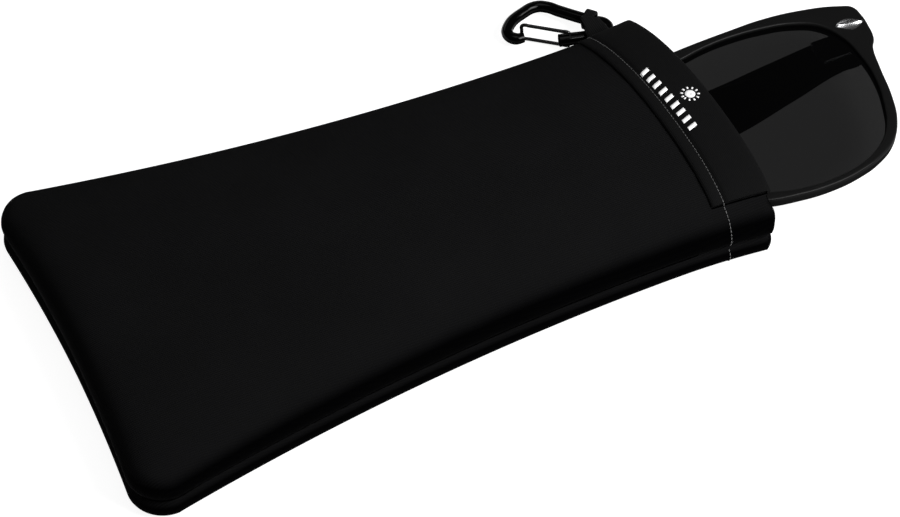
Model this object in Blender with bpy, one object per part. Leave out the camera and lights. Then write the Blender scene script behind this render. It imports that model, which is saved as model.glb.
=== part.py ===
"""Soft sunglasses sleeve with a clip-on carabiner, holding a folded pair of sunglasses.

Plan directions before the whole is centred: +X runs from the closed end of the sleeve to its mouth, +Y to
the side that carries the webbing loop, +Z up. The sleeve lies on z = 0. Lengths are in millimetres and are
scaled to metres where a mesh is made.
"""

import math

import bmesh
import bpy
import numpy as np
from mathutils import Matrix, Vector

MM = 0.001

# Whole object: where the middle of its bounding box falls in the plan described above.
CENTRE_X = 107.691
CENTRE_Y = 5.293

ROUND_SIDES = 20

# Sleeve
LENGTH = 165.0
END_HALF = 49.2  # half width at the closed end
MOUTH_HALF = 35.1
WAIST = 5.5  # how far the sides draw in
MOUTH_FLARE = 1.2
FLARE_FROM = 0.85  # share of the length where the flare starts
END_HOLLOW = 4.1  # how far the closed end curves in
END_POWER = 1.9
CORNER_R = 8.5
CORNER_X = 10.9  # the middle of each closed corner's arc
CORNER_TURN = (88, 185)  # degrees round a corner, from the side to the closed end's curve
EDGE_R = 2.6  # each panel's edge is a half round of this radius
EDGE_TURNS = (-90, -45, 0, 45, 90)  # degrees round that edge
FACE_SHARES = (0.95, 0.88, 0.75, 0.55, 0.3, 0.1)  # rings of a panel's face, drawn in towards its middle
FLOOR_SHARES = (0.1, 0.5, 1.0)
SEAM_GAP = 0.3
SEAM_Z = 2 * EDGE_R + SEAM_GAP / 2
TOP_WALL = 1.6
BOTTOM_WALL = 2.3
SIDE_WALL = 1.8
SEAM_WALL = 3.4  # the wall is thicker at the seam, where the panels' round edges meet
WALL_ROUNDING = 1.2
WALL_FROM = 1.9  # height above the seam where the side wall reaches its own thickness
MOUTH_RISE = 7.1  # how far the top panel bulges over the sunglasses at the mouth
RISE_POWER = 0.15
RISE_RUN = 5.0  # how soon the bulge starts from the closed end
CROWN_POWER = 0.7
CROWN_NEAR = 4.0  # the bulge is squarer towards the near side
CROWN_FAR = 2.2
MOUTH_BOW = 2.8  # the mouth's edge bows out in the middle
BOW_MIDDLE = -12.0
BOW_HALF = 41.0
LIP = 0.9  # the casing's fold and its gap, in front of the panel's cut edge
OVERRUN = 12.0  # panels are made this much too long, then trimmed to the mouth's curve
TRIM_HALF = 60.0
TRIM_HEIGHTS = (-10.0, 40.0)

# Mouth casings and their spring strips: distance back from the mouth's edge, height above the panel
CASING_Y = (-29.5, 32.0)
CASING_PROFILE = (
    (14.5, 0.3), (14.5, 0.8), (12.0, 0.8), (10.9, 1.4), (1.0, 1.4), (0.25, 1.15), (0.0, 0.6), (0.0, -1.6),
    (0.6, -1.6), (0.6, 0.4), (1.1, 0.9), (10.6, 0.9), (11.7, 0.3),
)
STRIP_Y = (-28.5, 31.0)
STRIP_PROFILE = ((9.9, 0.3), (9.9, 0.6), (1.7, 0.6), (1.7, 0.3))
RECESS_DEPTH = 1.2
LOWER_CASING = 0.45
LOWER_STRIP = (0.7, 0.9)  # bottom and top face
GAP = 0.3

# Webbing loop and carabiner
LOOP_X = (153.0, 158.8)
LOOP_THICKNESS = 0.8
LOOP_TAIL_Y = 33.0
LOOP_BEND_Y = 38.5
LOOP_SLOT_END = 44.0  # the slot for it in the seam runs out beyond the panels' edge
ROD_R = 1.5
ROD_Z = 3.0
GATE_WIRE_R = 0.45
GATE_LEG_Z = 2.3
GATE_PIVOT = (149.7, 42.6)
GATE_END = (140.4, 49.9)
GATE_ROOT_SHARES = (0.05, 0.85)  # the gate's wire in its pivot: shares of the way out to a leg
GATE_LEG_SHARES = (0.03, 0.15, 0.5, 0.85, 0.95)  # shares of the way along a leg
GATE_NOSE_SHARES = (0.8, 0.2)  # back in from the leg's end to the middle
PIVOT_HOLE_R = 0.75
PIVOT_HOLE_REACH = 4.0
SPINE_POINT = (154.7, 48.9)  # a point of the spine's straight line
SPINE_SLOPE = -1.1
WRAP_X = (156.2, 158.0)  # where the loop's two edges cross the spine
WRAP_TURN = (110, -140)
KNEE_REACH = 3.0  # from the spine back to where the loop turns towards the seam
KNEE_SPREAD = 2.4
HOLE_SHARES = (-0.8, 1.6)
CARABINER_LINE = (
    (147.3, 43.2), (149.7, 42.6), (153.2, 41.76), (157.0, 41.0), (159.6, 41.5), (160.1, 43.2),
    (157.5, 45.8), (151.6, 52.3), (149.8, 54.5), (147.3, 55.9), (143.3, 55.3), (138.4, 52.9),
    (136.9, 50.2), (137.9, 48.3), (140.0, 47.8),
)

# Sunglasses, in their own frame: u to the wearer's side, v to the brow, n out of the front face
GLASSES_X = 137.5
GLASSES_Z = 12.4
GLASSES_TILT = math.radians(3.0)
FRONT_HALF = 75.3
FRONT_THICK = 3.0
FRONT_EDGE_R = 0.6
FRONT_SAG = 1.0
BROW_LINE = (
    (0, 16.5), (14, 17.6), (28, 19.1), (43.6, 19.8), (51.9, 19.9), (62.1, 18.8), (71.8, 16.3), (74.6, 14.8),
    (75.39, 11.5), (75.3, 8.5), (74.5, 4.1),
)
RIM_LINE = (
    (72.8, 1.4), (71.3, -4.3), (69.3, -13.9), (66.8, -20.6), (62.9, -25.7), (57.5, -29.0), (50.9, -31.0),
    (42.5, -31.9), (34.7, -31.4), (26.5, -29.8), (18.5, -26), (12.3, -19.5), (9, -11), (5.5, -2.5), (0, 1.6),
)
OPENING_LINE = (
    (28.7, 16.1), (36, 17.3), (43, 17.6), (50.4, 17.1), (58.3, 15.5), (64, 12.5), (67.3, 7.2), (68.5, 0.4),
    (68.3, -6.8), (66.4, -14.4), (63.1, -21.5), (59.2, -25.4), (53.5, -28.4), (46, -29.9), (38, -29.9),
    (29.8, -28.1), (21.5, -24.3), (15.7, -18), (12.6, -9), (12.2, 1), (14, 9), (20, 14.5),
)
LENS_SHRINK = 0.985
LENS_THICK = 1.8
LENS_MIDDLE = -1.6
STUD_CENTRE = (70.9, 10.0)
STUD_SIZE = (7.0, 3.6)
STUD_HEIGHT = 0.5
STUD_GAP = 0.1
STUD_LEAN = 0.12  # its outer point lies lower than its inner one
STUD_RINGS = ((1.0, 0.0), (1.0, 0.4), (0.45, 1.0), (0.05, 1.0))  # shares of its size and of its height

# Temple arms: s runs along an arm from its hinge
HINGE_U = 71.3
HINGE_N = -4.3
KNUCKLE_R = 1.0
PIN_R = 0.45
PIN_HOLE_R = 0.65
ARM_THICK = 2.2
ARM_OFFSET = 2.4  # from the hinge's axis to the middle of the arm's thickness
ARM_LEAN = math.atan(2.5 / (2 * HINGE_U))  # folded arms lie 2.5 mm apart, one on the other
ARM_LINE = (
    (0.2, 2.7), (-0.8, 3.3), (-1, 5), (-1, 10.5), (-0.8, 12.1), (0.2, 12.6), (5, 12.6), (20, 11.6),
    (39, 10.1), (85, 9.4), (107, 8.0), (118, 6.2), (121.9, 2.8), (118, -0.6), (107, -2.2), (85, -4.0),
    (60, -4.6), (39, -4.1), (20, -0.4), (5, 2.7),
)
MIDDLE_KNUCKLE = (6.7, 8.8)
OUTER_KNUCKLES = ((4.5, 6.4), (9.1, 11.0))
LEAF = (1.6, 10.0)  # plate from and to, along s
LEAF_THICK = 0.8
ARM_LEAF_INSET = 0.4  # an arm's leaf is this much shorter at each end than the front's
WEB_REACH = 2.1  # from the hinge's axis into the leaf
WEB_INSET = 0.05  # a web lies just inside its knuckle, so that no two faces coincide
PIN_HOLE_OVERRUN = 2.0
SCREW_TIP = 0.3  # beyond the lower knuckle
SCREW_HEAD_GAP = 0.25
SCREW_HEAD_PROFILE = ((0.9, 0.0), (0.9, 0.45), (0.63, 0.7))  # radius and height
SIDES = {"right": 1, "left": -1}


def clear_scene():
    for obj in list(bpy.data.objects):
        bpy.data.objects.remove(obj, do_unlink=True)


def new_collection(name):
    collection = bpy.data.collections.new(name)
    bpy.context.scene.collection.children.link(collection)
    return collection


def material(name, colour, roughness, metallic=0.0):
    made = bpy.data.materials.new(name)
    made.use_nodes = True
    shader = made.node_tree.nodes["Principled BSDF"]
    shader.inputs["Base Color"].default_value = (*colour, 1.0)
    shader.inputs["Roughness"].default_value = roughness
    shader.inputs["Metallic"].default_value = metallic
    return made


def empty(name, parent, location, rotation=(0.0, 0.0, 0.0)):
    made = bpy.data.objects.new(name, None)
    parts.objects.link(made)
    made.parent = parent
    made.location = Vector(location) * MM
    made.rotation_euler = rotation
    return made


def add_object(name, mesh, parent, look):
    obj = bpy.data.objects.new(name, mesh)
    parts.objects.link(obj)
    obj.parent = parent
    mesh.materials.clear()
    mesh.materials.append(look)
    mesh.shade_smooth()
    mesh.set_sharp_from_angle(angle=math.radians(35))
    return obj


def mesh_of(bm, name):
    """The bmesh in millimetres as a mesh in metres with its faces turned out."""
    bmesh.ops.recalc_face_normals(bm, faces=bm.faces)
    bmesh.ops.scale(bm, vec=(MM, MM, MM), verts=bm.verts)
    mesh = bpy.data.meshes.new(name)
    bm.to_mesh(mesh)
    bm.free()
    return mesh


def cutter(name, bm, parent):
    obj = bpy.data.objects.new(name, mesh_of(bm, name))
    cutters.objects.link(obj)
    obj.parent = parent
    obj.hide_render = True
    obj.display_type = "WIRE"
    return obj


def cut(obj, tool, operation="DIFFERENCE"):
    step = obj.modifiers.new(tool.name, "BOOLEAN")
    step.operation = operation
    step.solver = "EXACT"
    step.object = tool


def box(low, high):
    bm = bmesh.new()
    bmesh.ops.create_cube(bm, size=1.0)
    low, high = Vector(low), Vector(high)
    bmesh.ops.scale(bm, vec=high - low, verts=bm.verts)
    bmesh.ops.translate(bm, vec=(low + high) / 2, verts=bm.verts)
    return bm


def rod(radius, start, end):
    """A cylinder from start to end."""
    start, end = Vector(start), Vector(end)
    bm = bmesh.new()
    bmesh.ops.create_cone(bm, cap_ends=True, segments=ROUND_SIDES, radius1=radius, radius2=radius,
                          depth=(end - start).length)
    turn = Vector((0, 0, 1)).rotation_difference(end - start).to_matrix().to_4x4()
    bmesh.ops.transform(bm, matrix=Matrix.Translation((start + end) / 2) @ turn, verts=bm.verts)
    return bm


def loft(sections):
    """A closed solid through sections that have the same number of points."""
    bm = bmesh.new()
    rings = [[bm.verts.new(point) for point in section] for section in sections]
    count = len(rings[0])
    for first, second in zip(rings, rings[1:]):
        for i in range(count):
            bm.faces.new((first[i], first[(i + 1) % count], second[(i + 1) % count], second[i]))
    bm.faces.new(rings[0])
    bm.faces.new(rings[-1])
    return bm


def curve_mesh(name, splines, half_thickness, edge_r, detail):
    """A flat outline, with any holes in it, given a thickness and rounded edges."""
    data = bpy.data.curves.new(name, "CURVE")
    data.dimensions = "2D"
    data.fill_mode = "BOTH"
    data.resolution_u = detail
    data.extrude = (half_thickness - edge_r) * MM
    data.bevel_depth = edge_r * MM
    data.bevel_resolution = 1
    data.offset = -edge_r * MM
    for points in splines:
        spline = data.splines.new("BEZIER")
        spline.use_cyclic_u = True
        spline.bezier_points.add(len(points) - 1)
        for knot, point in zip(spline.bezier_points, points):
            knot.co = (point[0] * MM, point[1] * MM, 0)
            knot.handle_left_type = "AUTO"
            knot.handle_right_type = "AUTO"
    return solid_from_curve(name, data)


def tube_mesh(name, points, radius, detail):
    """A bent rod along a smooth line through the points."""
    data = bpy.data.curves.new(name, "CURVE")
    data.dimensions = "3D"
    data.resolution_u = detail
    data.bevel_depth = radius * MM
    data.bevel_resolution = 1
    data.use_fill_caps = True
    spline = data.splines.new("BEZIER")
    spline.bezier_points.add(len(points) - 1)
    for knot, point in zip(spline.bezier_points, points):
        knot.co = Vector(point) * MM
        knot.handle_left_type = "AUTO"
        knot.handle_right_type = "AUTO"
    return solid_from_curve(name, data)


def solid_from_curve(name, data):
    guide = bpy.data.objects.new(name + "_curve", data)
    parts.objects.link(guide)
    bpy.context.view_layer.update()
    graph = bpy.context.evaluated_depsgraph_get()
    mesh = bpy.data.meshes.new_from_object(guide.evaluated_get(graph))
    bpy.data.objects.remove(guide, do_unlink=True)
    bm = bmesh.new()
    bm.from_mesh(mesh)
    bmesh.ops.remove_doubles(bm, verts=bm.verts, dist=0.00001)
    bmesh.ops.recalc_face_normals(bm, faces=bm.faces)
    bm.to_mesh(mesh)
    bm.free()
    mesh.name = name
    return mesh


# ---------------------------------------------------------------- sleeve

def half_width(x):
    s = x / LENGTH
    flare = MOUTH_FLARE * max(0.0, (min(s, 1.0) - FLARE_FROM) / (1 - FLARE_FROM)) ** 2
    return END_HALF + (MOUTH_HALF - END_HALF) * s - 4 * WAIST * s * (1 - s) + flare


def mouth_x(y):
    """Where the mouth's edge lies."""
    return LENGTH - MOUTH_BOW * ((y - BOW_MIDDLE) / BOW_HALF) ** 2


def rise(x, y):
    """How far the top panel bulges above its edge."""
    along = min(max(x / LENGTH, 0.0), 1.0) ** RISE_POWER * (1 - math.exp(-((x / RISE_RUN) ** 2)))
    across = min(abs(y) / half_width(x), 1.0)
    squareness = CROWN_NEAR if y < 0 else CROWN_FAR
    return MOUTH_RISE * along * (1 - across ** squareness) ** CROWN_POWER


def panel_top(x, y):
    return SEAM_Z + SEAM_GAP / 2 + 2 * EDGE_R + rise(x, y)


def plan_outline(overrun):
    """The sleeve's outline seen from above, anticlockwise, running past the mouth by overrun."""
    side = [(x, half_width(x)) for x in np.linspace(LENGTH + overrun, CORNER_X + 2, 17)]
    centre_y = half_width(CORNER_X) - CORNER_R
    corner = [
        (CORNER_X + CORNER_R * math.cos(a), centre_y + CORNER_R * math.sin(a))
        for a in np.radians(np.linspace(*CORNER_TURN, 8))
    ]
    start_x, start_y = corner[-1]
    end = [
        (END_HOLLOW - (END_HOLLOW - start_x) * (y / start_y) ** END_POWER, y)
        for y in np.linspace(start_y, 0, 5)[1:]
    ]
    half = side + corner + end
    mirrored = [(x, -y) for x, y in reversed(half[:-1])]
    mouth = [(LENGTH + overrun, y) for y in np.linspace(-half[0][1], half[0][1], 8)[1:-1]]
    return np.array(half + mirrored + mouth)


def inset_outline(points, inset):
    """The outline drawn in by inset along its own normal."""
    along = np.roll(points, -1, axis=0) - np.roll(points, 1, axis=0)
    along /= np.linalg.norm(along, axis=1)[:, None]
    inward = np.stack([-along[:, 1], along[:, 0]], axis=1)
    return points + inset * inward


def shrink_outline(points, share):
    """The outline drawn towards the middle of the sleeve."""
    middle = np.array([LENGTH / 2, 0.0])
    return middle + (points - middle) * share


def panel_sections(height_at):
    """Rings of a panel: its flat side, its half-round edge, then its other side drawn in to the middle.

    height_at(x, y, h) turns the height h inside a flat panel of thickness 2 EDGE_R into the real one.
    """
    outline = plan_outline(OVERRUN)
    face = inset_outline(outline, EDGE_R)
    rings = [(shrink_outline(face, share), 0.0) for share in reversed(FACE_SHARES)]
    for turn in np.radians(EDGE_TURNS):
        rings.append((inset_outline(outline, EDGE_R * (1 - math.cos(turn))), EDGE_R * (1 + math.sin(turn))))
    rings += [(shrink_outline(face, share), 2 * EDGE_R) for share in FACE_SHARES]
    return [[(x, y, height_at(x, y, h)) for x, y in ring] for ring, h in rings]


def cavity():
    """The space inside the sleeve, open at the mouth."""
    outline = plan_outline(2 * OVERRUN)
    floor = inset_outline(outline, SEAM_WALL + WALL_ROUNDING)
    seam = inset_outline(outline, SEAM_WALL)
    walls = inset_outline(outline, SIDE_WALL)
    roof = inset_outline(outline, SIDE_WALL + WALL_ROUNDING)
    sections = [[(x, y, BOTTOM_WALL) for x, y in shrink_outline(floor, share)] for share in FLOOR_SHARES]
    sides = ((seam, BOTTOM_WALL + WALL_ROUNDING), (seam, SEAM_Z + GAP), (walls, SEAM_Z + WALL_FROM))
    for ring, height in sides:
        sections.append([(x, y, height) for x, y in ring])
    sections.append([(x, y, panel_top(x, y) - TOP_WALL - WALL_ROUNDING) for x, y in walls])
    for share in (1.0,) + FACE_SHARES:
        sections.append([(x, y, panel_top(x, y) - TOP_WALL) for x, y in shrink_outline(roof, share)])
    return loft(sections)


def mouth_trim():
    """Takes off all that lies beyond the mouth's bowed edge."""
    edge = [(mouth_x(y) - LIP, y) for y in np.linspace(-TRIM_HALF, TRIM_HALF, 25)]
    outline = edge + [(LENGTH + TRIM_HALF, TRIM_HALF), (LENGTH + TRIM_HALF, -TRIM_HALF)]
    return loft([[(x, y, z) for x, y in outline] for z in TRIM_HEIGHTS])


def make_panels(origin, fabric):
    """The two neoprene panels, edge to edge at the seam, with the space between them."""
    shapes = {"top_panel": panel_sections(upper_height), "bottom_panel": panel_sections(flat_height)}
    tools = [
        cutter("cavity_cutter", cavity(), origin),
        cutter("mouth_trim_cutter", mouth_trim(), origin),
        cutter("loop_slot_cutter", loop_slot(), origin),
    ]
    panels = {}
    for name, sections in shapes.items():
        panels[name] = add_object(name, mesh_of(loft(sections), name), origin, fabric)
        for tool in tools:
            cut(panels[name], tool)
    cut(panels["bottom_panel"], cutter("casing_recess_cutter", recess_shape(), origin))


def upper_height(x, y, h):
    return SEAM_Z + SEAM_GAP / 2 + h * (1 + rise(x, y) / (2 * EDGE_R))


def flat_height(x, y, h):
    return h


def above_top(x, y, up):
    return panel_top(x, y) + up


def loop_slot():
    """Room in the seam for the webbing loop's tail."""
    reach = LOOP_THICKNESS + GAP
    return box((LOOP_X[0] - GAP, LOOP_TAIL_Y - GAP, SEAM_Z - reach),
               (LOOP_X[1] + GAP, LOOP_SLOT_END, SEAM_Z + reach))


def recess_shape():
    """The shallow seat under the bottom panel for its casing and spring strip."""
    back = CASING_PROFILE[0][0] + GAP
    ends = (CASING_Y[0] - GAP, CASING_Y[1] + GAP)
    outline = [(mouth_x(y) - back, y) for y in np.linspace(*ends, 9)]
    outline += [(LENGTH + OVERRUN, ends[1]), (LENGTH + OVERRUN, ends[0])]
    return loft([[(x, y, z) for x, y in outline] for z in (TRIM_HEIGHTS[0], RECESS_DEPTH)])


def along_mouth(profile, ends, height_at):
    """A band that follows the mouth: profile gives distance behind the mouth's edge and height."""
    return loft([
        [(mouth_x(y) - back, y, height_at(mouth_x(y) - back, y, up)) for back, up in profile]
        for y in np.linspace(*ends, 17)
    ])


def make_mouth(origin, tape, steel):
    """The folded casings along both lips and the spring strip that each one holds."""
    back = CASING_PROFILE[0][0]
    fold = LIP - GAP
    lower = ((back, 0.0), (back, LOWER_CASING), (fold, LOWER_CASING), (fold, BOTTOM_WALL), (0.0, BOTTOM_WALL),
             (0.0, 0.0))
    lower_strip = [(back, LOWER_STRIP[up > STRIP_PROFILE[0][1]]) for back, up in STRIP_PROFILE]
    bands = (
        ("mouth_casing_top", CASING_PROFILE, CASING_Y, above_top, tape),
        ("spring_strip_top", STRIP_PROFILE, STRIP_Y, above_top, steel),
        ("mouth_casing_bottom", lower, CASING_Y, flat_height, tape),
        ("spring_strip_bottom", lower_strip, STRIP_Y, flat_height, steel),
    )
    for name, profile, ends, height_at, look in bands:
        add_object(name, mesh_of(along_mouth(profile, ends, height_at), name), origin, look)


def around_spine(share, radius, angles):
    """Points round the carabiner's spine, square to it, at a share of the loop's width."""
    middle_x = WRAP_X[0] + share * (WRAP_X[1] - WRAP_X[0])
    middle_y = SPINE_POINT[1] + SPINE_SLOPE * (middle_x - SPINE_POINT[0])
    across = Vector((-SPINE_SLOPE, 1.0)).normalized() * radius
    return [
        (middle_x + across.x * math.cos(a), middle_y + across.y * math.cos(a), ROD_Z + radius * math.sin(a))
        for a in np.radians(angles)
    ]


def loop_section(share):
    """The loop's outline at a share of its width.

    Both layers leave the seam and pass over the carabiner's run. There the loop is drawn together, and one
    layer goes round the spine and comes back up inside the carabiner.
    """
    x = LOOP_X[0] + share * (LOOP_X[1] - LOOP_X[0])
    over = ROD_Z + ROD_R + GAP
    top = over + 2 * LOOP_THICKNESS
    outer = around_spine(share, ROD_R + GAP + LOOP_THICKNESS, np.linspace(*WRAP_TURN, 15))
    inner_x, inner_y, _ = around_spine(share, KNEE_REACH, [180])[0]
    tail = [(x, LOOP_TAIL_Y, SEAM_Z - LOOP_THICKNESS), (x, LOOP_TAIL_Y, SEAM_Z + LOOP_THICKNESS)]
    upper = [(x, LOOP_BEND_Y, top), (inner_x + share * KNEE_SPREAD, inner_y, top)]
    return tail + upper + outer + [(inner_x, inner_y, over), (x, LOOP_BEND_Y, over)]


def make_loop(origin, webbing):
    """The webbing loop: its tail is sewn into the side seam and it goes round the carabiner's spine."""
    body = loft([loop_section(share) for share in np.linspace(0, 1, 5)])
    loop = add_object("webbing_loop", mesh_of(body, "webbing_loop"), origin, webbing)
    turns = np.linspace(0, 360, 21)[:-1]
    hole = loft([around_spine(share, ROD_R + GAP, turns) for share in HOLE_SHARES])
    cut(loop, cutter("loop_hole_cutter", hole, origin))


# ---------------------------------------------------------------- carabiner

def make_carabiner(origin, enamel, wire_look):
    """A bent rod with an open nose, and the wire gate that closes it."""
    pivot = empty("gate_pivot", origin, (*GATE_PIVOT, ROD_Z))
    line = [(x - GATE_PIVOT[0], y - GATE_PIVOT[1], 0) for x, y in CARABINER_LINE]
    frame = add_object("carabiner_frame", tube_mesh("carabiner_frame", line, ROD_R, 4), pivot, enamel)
    hole = rod(PIVOT_HOLE_R, (0, 0, -PIVOT_HOLE_REACH), (0, 0, PIVOT_HOLE_REACH))
    cut(frame, cutter("gate_hole_cutter", hole, pivot))
    reach = Vector((GATE_END[0] - GATE_PIVOT[0], GATE_END[1] - GATE_PIVOT[1], 0))
    across = Vector((0, 0, GATE_LEG_Z))
    half = [across * share for share in GATE_ROOT_SHARES]
    half += [across + reach * share for share in GATE_LEG_SHARES]
    half += [across * share + reach for share in GATE_NOSE_SHARES]
    path = half + [Vector((p.x, p.y, -p.z)) for p in reversed(half)]
    gate = tube_mesh("carabiner_gate", path, GATE_WIRE_R, 2)
    add_object("carabiner_gate", gate, pivot, wire_look)


# ---------------------------------------------------------------- sunglasses

def curve_front(mesh):
    """Bends a flat piece of the front to the front's slight arch."""
    for vertex in mesh.vertices:
        vertex.co.z += FRONT_SAG * MM * (1 - (vertex.co.x / (FRONT_HALF * MM)) ** 2)


def mirrored(points):
    return [(-u, v) for u, v in points]


def make_front(glasses, acetate, tint, silver):
    """The front, its two lenses and the leaf-shaped studs at its corners."""
    right = list(BROW_LINE) + list(RIM_LINE)
    outline = right + mirrored(reversed(right[1:-1]))
    opening = list(OPENING_LINE)
    mesh = curve_mesh("frame_front", (outline, opening, mirrored(opening)), FRONT_THICK / 2, FRONT_EDGE_R, 3)
    for vertex in mesh.vertices:
        vertex.co.z -= FRONT_THICK / 2 * MM
    curve_front(mesh)
    add_object("frame_front", mesh, glasses, acetate)
    centre = np.mean(OPENING_LINE, axis=0)
    for side, sign in SIDES.items():
        shape = [(sign * u, v) for u, v in centre + (np.array(OPENING_LINE) - centre) * LENS_SHRINK]
        mesh = curve_mesh("lens_" + side, (shape,), LENS_THICK / 2, 0.0, 2)
        for vertex in mesh.vertices:
            vertex.co.z += LENS_MIDDLE * MM
        curve_front(mesh)
        add_object("lens_" + side, mesh, glasses, tint)
        add_object("corner_stud_" + side, stud_mesh("corner_stud_" + side, sign), glasses, silver)


def stud_mesh(name, sign):
    """A pointed leaf with a raised middle."""
    steps = np.linspace(-1, 1, 9)
    half = [(STUD_SIZE[0] / 2 * t, STUD_SIZE[1] / 2 * (1 - t * t)) for t in steps]
    outline = half + [(x, -y) for x, y in reversed(half[1:-1])]
    sections = []
    for share, height in STUD_RINGS:
        sections.append([
            (sign * (STUD_CENTRE[0] + x * share), STUD_CENTRE[1] + (y - STUD_LEAN * x) * share,
             STUD_GAP + height * STUD_HEIGHT)
            for x, y in outline
        ])
    mesh = mesh_of(loft(sections), name)
    curve_front(mesh)
    return mesh


def union_of(name, shapes, parent, look, hole):
    """One solid from overlapping bmeshes, with a hole through it."""
    first = add_object(name, mesh_of(shapes[0], name), parent, look)
    for i, shape in enumerate(shapes[1:]):
        cut(first, cutter(f"{name}_piece_{i}", shape, parent), "UNION")
    cut(first, cutter(name + "_hole", hole, parent))
    return first


def make_hinges(glasses, acetate, steel):
    """Each side's hinge leaves, screw and arm. An arm's empty lies on the hinge's axis."""
    for side, sign in SIDES.items():
        axis = empty("hinge_" + side, glasses, (sign * HINGE_U, 0, HINGE_N))
        turn = empty("arm_turn_" + side, axis, (0, 0, 0), (0, -ARM_LEAN, 0))
        make_front_leaf(side, sign, axis, steel)
        make_screw(side, axis, steel)
        make_arm(side, sign, turn, acetate)
        make_arm_leaf(side, sign, turn, steel)


def span(sign, first, last):
    """The x range of a stretch from first to last along the arm, which runs towards the middle."""
    return sorted((-sign * first, -sign * last))


def pin_hole():
    return rod(PIN_HOLE_R, (0, OUTER_KNUCKLES[0][0] - PIN_HOLE_OVERRUN, 0),
               (0, OUTER_KNUCKLES[1][1] + PIN_HOLE_OVERRUN, 0))


def knuckle(sign, ends, plate_z):
    """A knuckle and the web that joins it to its leaf."""
    first, last = ends
    low, high = span(sign, 0, WEB_REACH)
    web = box((low, first + WEB_INSET, plate_z[0] + WEB_INSET),
              (high, last - WEB_INSET, plate_z[1] - WEB_INSET))
    return [rod(KNUCKLE_R, (0, first, 0), (0, last, 0)), web]


def make_front_leaf(side, sign, axis, steel):
    """The leaf on the back of the front, with a knuckle at each end."""
    low, high = span(sign, *LEAF)
    plate_z = (KNUCKLE_R - LEAF_THICK, KNUCKLE_R)
    shapes = [box((low, OUTER_KNUCKLES[0][0], plate_z[0]), (high, OUTER_KNUCKLES[1][1], plate_z[1]))]
    for ends in OUTER_KNUCKLES:
        shapes += knuckle(sign, ends, plate_z)
    union_of("front_hinge_" + side, shapes, axis, steel, pin_hole())


def make_arm_leaf(side, sign, turn, steel):
    """The leaf on the inner face of the arm, with the middle knuckle."""
    low, high = span(sign, *LEAF)
    plate_z = (-KNUCKLE_R, -KNUCKLE_R + LEAF_THICK)
    plate = box((low, OUTER_KNUCKLES[0][0] + ARM_LEAF_INSET, plate_z[0]),
                (high, OUTER_KNUCKLES[1][1] - ARM_LEAF_INSET, plate_z[1]))
    shapes = [plate] + knuckle(sign, MIDDLE_KNUCKLE, plate_z)
    union_of("arm_hinge_" + side, shapes, turn, steel, pin_hole())


def make_screw(side, axis, steel):
    top = OUTER_KNUCKLES[1][1] + SCREW_HEAD_GAP
    profile = [(PIN_R, OUTER_KNUCKLES[0][0] - SCREW_TIP), (PIN_R, top)]
    profile += [(radius, top + up) for radius, up in SCREW_HEAD_PROFILE]
    turns = np.linspace(0, 2 * math.pi, 17)[:-1]
    sections = [[(r * math.cos(a), y, r * math.sin(a)) for a in turns] for r, y in profile]
    add_object("hinge_screw_" + side, mesh_of(loft(sections), "hinge_screw_" + side), axis, steel)


def make_arm(side, sign, turn, acetate):
    outline = [(-sign * s, v) for s, v in ARM_LINE]
    mesh = curve_mesh("arm_" + side, (outline,), ARM_THICK / 2, 0.4, 3)
    for vertex in mesh.vertices:
        vertex.co.z -= ARM_OFFSET * MM
    add_object("arm_" + side, mesh, turn, acetate)


def build():
    fabric = material("neoprene", (0.008, 0.008, 0.010), 0.85)
    tape = material("casing_tape", (0.013, 0.013, 0.014), 0.8)
    webbing = material("webbing", (0.016, 0.016, 0.017), 0.8)
    enamel = material("black_enamel", (0.005, 0.005, 0.005), 0.3, 0.6)
    steel = material("steel", (0.55, 0.56, 0.58), 0.3, 1.0)
    wire_look = material("black_wire", (0.01, 0.01, 0.01), 0.25, 0.8)
    acetate = material("acetate", (0.012, 0.012, 0.012), 0.35)
    tint = material("lens_tint", (0.03, 0.03, 0.035), 0.05)
    silver = material("stud_silver", (0.85, 0.85, 0.86), 0.2, 1.0)
    origin = empty("sleeve_origin", None, (-CENTRE_X, -CENTRE_Y, 0))
    make_panels(origin, fabric)
    make_mouth(origin, tape, steel)
    make_loop(origin, webbing)
    make_carabiner(origin, enamel, wire_look)
    glasses = empty("glasses", origin, (GLASSES_X, 0, GLASSES_Z), (GLASSES_TILT, 0, 0))
    make_front(glasses, acetate, tint, silver)
    make_hinges(glasses, acetate, steel)


clear_scene()
parts = new_collection("sunglasses_sleeve")
cutters = new_collection("cutters")
build()
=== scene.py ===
"""The finished look of the sunglasses sleeve, its carabiner and the sunglasses in its mouth.

Shapes are worked out in millimetres in the sleeve's own plan, where +X runs from the closed end to the
mouth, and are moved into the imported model's frame as each mesh is made.
"""

import math

import bmesh
import bpy
import numpy as np
from mathutils import Matrix, Vector, noise

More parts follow.
